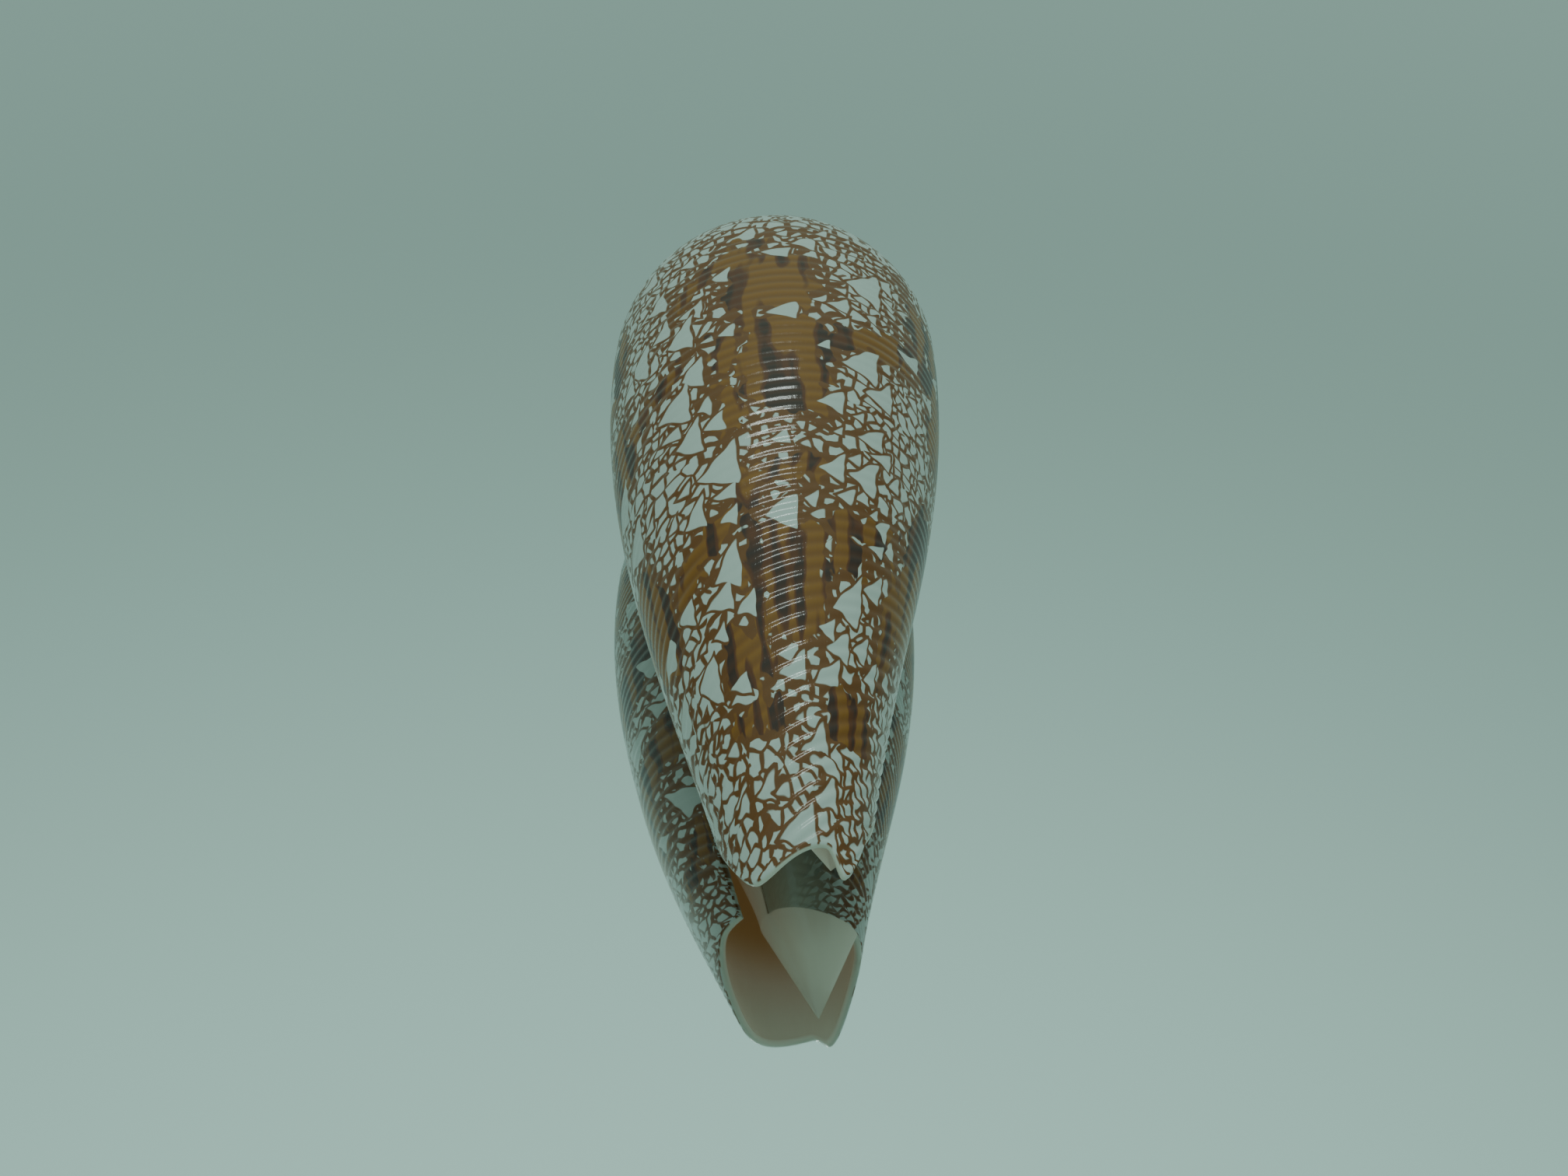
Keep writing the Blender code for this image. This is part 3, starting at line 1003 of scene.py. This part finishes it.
@dataclass(frozen=True)
class ShellFinish:
    """Glossy shell colours and the net of tents on them.

    A pair of numbers says where a change begins and where it ends, in turns
    behind the lip or in millimetres.
    """

    white: Colour = (0.50, 0.50, 0.475, 1.0)
    line: Colour = (0.165, 0.050, 0.007, 1.0)
    golden: Colour = (0.25, 0.088, 0.006, 1.0)
    rust: Colour = (0.115, 0.026, 0.004, 1.0)
    dark: Colour = (0.040, 0.012, 0.007, 1.0)
    glaze: Colour = (0.54, 0.52, 0.44, 1.0)
    # Painted shade and painted light through the wall: darker orange-brown that the inside of the
    # opening takes further back.
    deep: Colour = (0.50, 0.33, 0.14, 1.0)
    # Painted glow: emission colours that stand in for light shining through the thin wall, cream
    # near the front and orange-brown further back.
    painted_glow_deep: Colour = (0.040, 0.030, 0.012, 1.0)
    painted_glow_front: Colour = (0.062, 0.060, 0.045, 1.0)
    scattered: tuple[TentLayer, ...] = (
        TentLayer(1.9, 2.0, 1.0, 0.5),
        TentLayer(2.9, 3.1, 2.0, 0.45),
        TentLayer(4.4, 5.0, 3.0, 0.5),
    )
    tent_rounding: float = 0.3
    ribbon_rounding: float = 1.4
    wobble_scale: float = 0.55
    wobble_reach: float = 0.55
    ridge_middle: float = 28.0
    girth_slope: float = 0.0195
    girth_front: float = 0.34
    girth_limit: float = 1.1
    back_near: Pair = (0.19, 0.23)
    back_far: Pair = (0.53, 0.58)
    back_front: Pair = (6.0, 8.0)
    back_top: Pair = (53.0, 55.0)
    fine_net: float = 1.1
    wide_net: float = 0.74
    fine_places: Pair = (0.47, 0.5)
    band_level: float = 0.505
    band_strength: float = 22.0
    bare_front: Pair = (7.0, 11.0)
    bare_strength: float = 6.0
    ragged_scale: float = 0.7
    ragged_depth: float = 4.0
    bold_places: Pair = (-2.6, 0.3)
    bold_gain: float = 0.24
    rusty_places: Pair = (0.47, 0.53)
    dark_places: Pair = (0.54, 0.60)
    cord_share: float = 0.35
    glaze_start: Pair = (0.74, 0.86)
    glaze_end: Pair = (1.0, 1.01)
    glaze_front: Pair = (2.5, 6.5)
    glaze_front_start: Pair = (0.56, 0.66)
    glaze_front_end: Pair = (1.2, 1.3)
    glaze_strength: float = 0.94
    # Span in millimetres over which the painted shade and painted glow inside the opening deepen.
    deep_start: Pair = (7.0, 17.0)
    dot_scale: float = 0.9
    dot_sides: Pair = (0.16, 0.24)
    dot_strength: float = 0.8
    line_half: float = 0.14
    softness: float = 0.05
    roughness: float = 0.14
    inside_roughness: float = 0.08
    grain_roughness: float = 0.15
    grain_strength: float = 0.35
    grain_depth: float = 0.00004
    ior: float = 1.42
    coat: float = 0.08
    coat_roughness: float = 0.12

    def placed_tents(self, graph: Graph, place: bpy.types.NodeSocket) -> Tone:
        """Distance inside the listed tents."""
        nearest = None
        for tent in BACK_TENTS:
            first, second, third = (graph.dot(place, line) for line in tent.lines())
            inside = first.soft_least(second, self.tent_rounding)
            inside = inside.soft_least(third, self.tent_rounding)
            nearest = inside if nearest is None else nearest.most(inside)
        return nearest

    def placed_ribbons(self, across: Tone, along: Tone) -> Tone:
        """Distance inside the listed brown areas."""
        nearest = None
        for ribbon in BACK_RIBBONS:
            x = across - ribbon.across
            y = along - ribbon.along
            if ribbon.slope:
                y = y - x * ribbon.slope
            side = ribbon.half_width - abs(x)
            inside = side.soft_least(ribbon.half_height - abs(y), self.ribbon_rounding)
            nearest = inside if nearest is None else nearest.most(inside)
        return nearest

    def brown(self, graph: Graph, across: Tone, along: Tone, phase: Tone) -> bpy.types.NodeSocket:
        """Golden brown with dark streaks along the axis.

        Args:
            graph: Node tree.
            across: Growth coordinate round the whorl.
            along: Growth coordinate along the axis.
            phase: Number of the spiral cord.

        Returns:
            The colour.
        """
        streak = graph.noise(graph.join(across * 0.7, along * 0.08, 3.0), 1.0, 0.5)
        block = graph.noise(graph.join(across * 0.3, along * 0.4, 11.0), 1.0, 0.0)
        depth = streak + (block - 0.5) * 0.3
        cord = (phase * (2.0 * math.pi)).cosine() * 0.5 + 0.5
        rusty = graph.blend(depth.rise(*self.rusty_places), self.golden, self.rust)
        tone = graph.blend(depth.rise(*self.dark_places), rusty, self.dark)
        return graph.blend((1.0 - cord) * self.cord_share, tone, self.rust)

    def moved(self, graph: Graph, growth: bpy.types.NodeSocket) -> tuple[Tone, Tone]:
        """Growth coordinates moved a little to and fro, for uneven lines."""
        wobble = graph.node(
            "ShaderNodeTexNoise",
            {"noise_dimensions": "2D"},
            {"Vector": growth, "Scale": self.wobble_scale, "Detail": 0.0},
        )
        reach = (self.wobble_reach, self.wobble_reach, 0.0)
        moved = graph.vector("SUBTRACT", wobble.outputs["Color"], (0.5, 0.5, 0.5))
        moved = graph.vector("MULTIPLY_ADD", moved, reach, growth)
        across, along, _ = graph.split(moved)
        return across, along

    def back(self, turns: Tone, along: Tone) -> Tone:
        """Share of the shell's back, where the listed marks go."""
        near = turns.rise(*self.back_near) * (1.0 - turns.rise(*self.back_far))
        return near * along.rise(*self.back_front) * (1.0 - along.rise(*self.back_top))

    def free_ribbons(self, graph: Graph, across: Tone, along: Tone) -> Tone:
        """Distance inside the scattered brown areas, which form loose bands."""
        noise = graph.noise(graph.join(across * 0.05, along * 0.13, 21.0), 1.0, 1.0)
        bands = (along * 0.27 + 0.4).cosine() * 0.07
        inside = (noise + bands - self.band_level) * self.band_strength
        return inside - (1.0 - along.rise(*self.bare_front)) * self.bare_strength

    def netting(
        self, graph: Graph, across: Tone, along: Tone, level: tuple[Tone, Tone]
    ) -> Tone:
        """Distance from the nearest line of the net, fine here and wide there.

        Args:
            graph: Node tree.
            across: Growth coordinate round the whorl.
            along: Growth coordinate along the axis.
            level: Growth coordinates that keep the cells' size round the whorl.

        Returns:
            The distance in millimetres.
        """
        choice = graph.noise(graph.join(across * 0.16, along * 0.2, 5.0), 1.0, 0.0)
        choice = choice.rise(*self.fine_places)
        plane = graph.join(*level, 1.0)
        fine = graph.net(plane, self.fine_net)
        return fine * choice + graph.net(plane, self.wide_net) * (1.0 - choice)

    def glazed(self, turns: Tone, along: Tone) -> Tone:
        """Share of the white glaze on the shell's base and its front edge."""
        base = turns.rise(*self.glaze_start) * (1.0 - turns.rise(*self.glaze_end))
        front = (1.0 - along.rise(*self.glaze_front)) * turns.rise(*self.glaze_front_start)
        front = front * (1.0 - turns.rise(*self.glaze_front_end))
        return base.most(front) * self.glaze_strength

    def pattern(
        self, graph: Graph
    ) -> tuple[bpy.types.NodeSocket, bpy.types.NodeSocket, Tone, Tone]:
        """Colour of the whole skin.

        Args:
            graph: Node tree.

        Returns:
            The colour, a painted glow that stands in for light shining through
            the wall, how far inside the shell a point counts, and a height for
            the fine growth lines.
        """
        growth = graph.node("ShaderNodeUVMap", {"uv_map": "growth"}, {}).outputs[0]
        zone = graph.node("ShaderNodeUVMap", {"uv_map": "zone"}, {}).outputs[0]
        across, along, _ = graph.split(growth)
        inside, phase, _ = graph.split(zone)
        turns = across / TURN_LENGTH
        x, y = self.moved(graph, growth)
        flat = graph.join(x, y, 1.0)
        girth = (along * self.girth_slope + self.girth_front).least(self.girth_limit)
        even = (x - self.ridge_middle) * girth

        back = self.back(turns, along)
        ragged = (graph.noise(flat, self.ragged_scale, 1.0) - 0.5) * self.ragged_depth
        free = self.free_ribbons(graph, across, along) * (1.0 - back)
        ribbon = (self.placed_ribbons(x, y) - 0.1) * back + free + ragged
        brown_share = ribbon.rise(-0.1, 0.1)
        bold = self.line_half + ribbon.rise(*self.bold_places) * self.bold_gain
        net = self.netting(graph, across, along, (even, y))
        white = (net - bold).rise(-0.04, self.softness)

        apart = (ribbon.rise(-0.3, 0.0), ribbon.rise(-0.2, 0.4), back)
        layers = [
            (layer.inside(graph, even, y), away)
            for layer, away in zip(self.scattered, apart)
        ]
        layers.append((self.placed_tents(graph, flat), 1.0 - back))
        for distance, away in layers:
            distance = distance - away * 3.0
            cover = distance.rise(-self.line_half - self.softness, -self.line_half)
            core = distance.rise(0.02, 0.02 + 2.0 * self.softness)
            white = white * (1.0 - cover) + core * cover
            brown_share = brown_share * (1.0 - core)
        netted = graph.blend(white, self.line, self.white)
        colour = graph.blend(brown_share, netted, self.brown(graph, x, y, phase))
        colour = graph.blend(self.glazed(turns, along), colour, self.glaze)

        # Painted shade and painted light through the wall: the inside turns from cream glaze to
        # darker orange-brown further back in the opening.
        deep_share = along.rise(*self.deep_start)
        deep = graph.blend(deep_share, self.glaze, self.deep)
        dots = graph.net(graph.join(0.0, y, 0.0), self.dot_scale)
        dot = (1.0 - inside.rise(0.35, 0.9)) * dots.rise(*self.dot_sides)
        colour = graph.blend(inside.rise(0.1, 0.3), colour, deep)
        dot = dot * inside.rise(0.02, 0.1) * self.dot_strength
        colour = graph.blend(dot, colour, self.line)

        # Painted glow: emission inside the opening stands in for light shining through the wall.
        painted_glow = graph.blend(deep_share, self.painted_glow_front, self.painted_glow_deep)
        painted_glow = graph.blend(inside.rise(0.5, 1.0), BLACK, painted_glow)
        grain = graph.noise(graph.join(across * 3.2, along * 0.5, 2.0), 1.0, 2.0)
        return colour, painted_glow, inside, grain

    def material(self) -> bpy.types.Material:
        """Build the material."""
        made = bpy.data.materials.new("shell_gloss")
        made.use_nodes = True
        graph = Graph(made.node_tree)
        shader = made.node_tree.nodes["Principled BSDF"]
        colour, painted_glow, inside, grain = self.pattern(graph)
        rough = self.roughness + inside * self.inside_roughness
        rough = rough + (grain - 0.5) * self.grain_roughness
        bump = graph.node(
            "ShaderNodeBump",
            {},
            {"Height": grain, "Strength": self.grain_strength, "Distance": self.grain_depth},
        )
        links = made.node_tree.links
        links.new(colour, shader.inputs["Base Color"])
        # Emission Color carries the painted glow that stands in for light through the wall.
        links.new(painted_glow, shader.inputs["Emission Color"])
        shader.inputs["Emission Strength"].default_value = 1.0
        links.new(rough.socket, shader.inputs["Roughness"])
        links.new(bump.outputs[0], shader.inputs["Normal"])
        shader.inputs["IOR"].default_value = self.ior
        shader.inputs["Coat Weight"].default_value = self.coat
        shader.inputs["Coat Roughness"].default_value = self.coat_roughness
        return made


@dataclass(frozen=True)
class Camera:
    """Camera at the photograph's place, with lengths in millimetres."""

    azimuth: float = math.radians(2.32)
    elevation: float = math.radians(32.74)
    roll: float = math.radians(2.97)
    distance: float = 140.0
    target: Triple = (1.72, 20.17, -9.71)
    lens: float = 35.71
    sensor: float = 36.0
    nearest: float = 5.0

    def add(self) -> None:
        """Place the camera."""
        flat = math.cos(self.elevation)
        forward = Vector(
            (
                math.sin(self.azimuth) * flat,
                math.cos(self.azimuth) * flat,
                -math.sin(self.elevation),
            )
        )
        level = Vector((math.cos(self.azimuth), -math.sin(self.azimuth), 0.0))
        upright = level.cross(forward)
        right = level * math.cos(self.roll) + upright * math.sin(self.roll)
        above = upright * math.cos(self.roll) - level * math.sin(self.roll)
        eye = (Vector(self.target) - forward * self.distance) * MM
        turn = Matrix((right, above, -forward)).transposed().to_4x4()
        data = bpy.data.cameras.new("camera")
        data.lens = self.lens
        data.sensor_width = self.sensor
        data.clip_start = self.nearest * MM
        made = bpy.data.objects.new("camera", data)
        made.matrix_world = Matrix.Translation(eye) @ turn
        bpy.context.scene.collection.objects.link(made)
        bpy.context.scene.camera = made


@dataclass(frozen=True)
class SoftLight:
    """Rectangular soft light that looks at the shell, with lengths in metres."""

    name: str
    place: Triple
    width: float
    depth: float
    watts: float
    colour: Triple = (0.86, 1.0, 0.95)
    target: Triple = (0.0, 0.0, 0.01)

    def add(self) -> None:
        """Place the light."""
        data = bpy.data.lights.new(self.name, "AREA")
        data.shape = "RECTANGLE"
        data.size = self.width
        data.size_y = self.depth
        data.energy = self.watts
        data.color = self.colour
        made = bpy.data.objects.new(self.name, data)
        made.location = self.place
        aim = Vector(self.target) - Vector(self.place)
        made.rotation_euler = aim.to_track_quat("-Z", "Y").to_euler()
        bpy.context.scene.collection.objects.link(made)


@dataclass(frozen=True)
class Studio:
    """Pale polished floor, pale surroundings and a soft light."""

    floor_colour: Colour = (0.77, 0.79, 0.78, 1.0)
    floor_roughness: float = 0.03
    low_sky: Colour = (0.270, 0.440, 0.382, 1.0)
    high_sky: Colour = (0.590, 0.960, 0.850, 1.0)
    floor_size: float = 1.5
    lights: tuple[SoftLight, ...] = (
        SoftLight("strip", (-0.03, 0.13, 0.42), 0.19, 0.016, 0.34),
    )

    def floor(self) -> bpy.types.Object:
        """Floor that mirrors the shell, as the one in the photograph does."""
        mesh = bmesh.new()
        bmesh.ops.create_grid(mesh, x_segments=1, y_segments=1, size=self.floor_size)
        data = bpy.data.meshes.new("floor")
        mesh.to_mesh(data)
        mesh.free()
        made = bpy.data.objects.new("floor", data)
        material = bpy.data.materials.new("floor_polish")
        material.use_nodes = True
        shader = material.node_tree.nodes["Principled BSDF"]
        shader.inputs["Base Color"].default_value = self.floor_colour
        shader.inputs["Metallic"].default_value = 1.0
        shader.inputs["Roughness"].default_value = self.floor_roughness
        data.materials.append(material)
        bpy.context.scene.collection.objects.link(made)
        return made

    def surroundings(self) -> None:
        """Pale world, darker near the horizon than overhead."""
        world = bpy.data.worlds.new("surroundings")
        world.use_nodes = True
        bpy.context.scene.world = world
        graph = Graph(world.node_tree)
        place = graph.node("ShaderNodeTexCoord", {}, {}).outputs["Generated"]
        height = graph.split(place)[2]
        colour = graph.blend(height.rise(0.3, 1.0), self.low_sky, self.high_sky)
        background = world.node_tree.nodes["Background"]
        world.node_tree.links.new(colour, background.inputs["Color"])

    def build(self) -> bpy.types.Object:
        """Set everything up and return the floor."""
        self.surroundings()
        for light in self.lights:
            light.add()
        return self.floor()


def main() -> None:
    """Build the shell, dress it and set up the picture."""
    logging.basicConfig(level=logging.INFO, format="%(message)s")
    shell = GrownShell().build()
    shell.data.materials.append(ShellFinish().material())
    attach(shell, "root")
    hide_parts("shell")
    floor = Studio().build()
    Camera().add()
    LOG.info("picture ready")


if __name__ == "__main__":
    main()
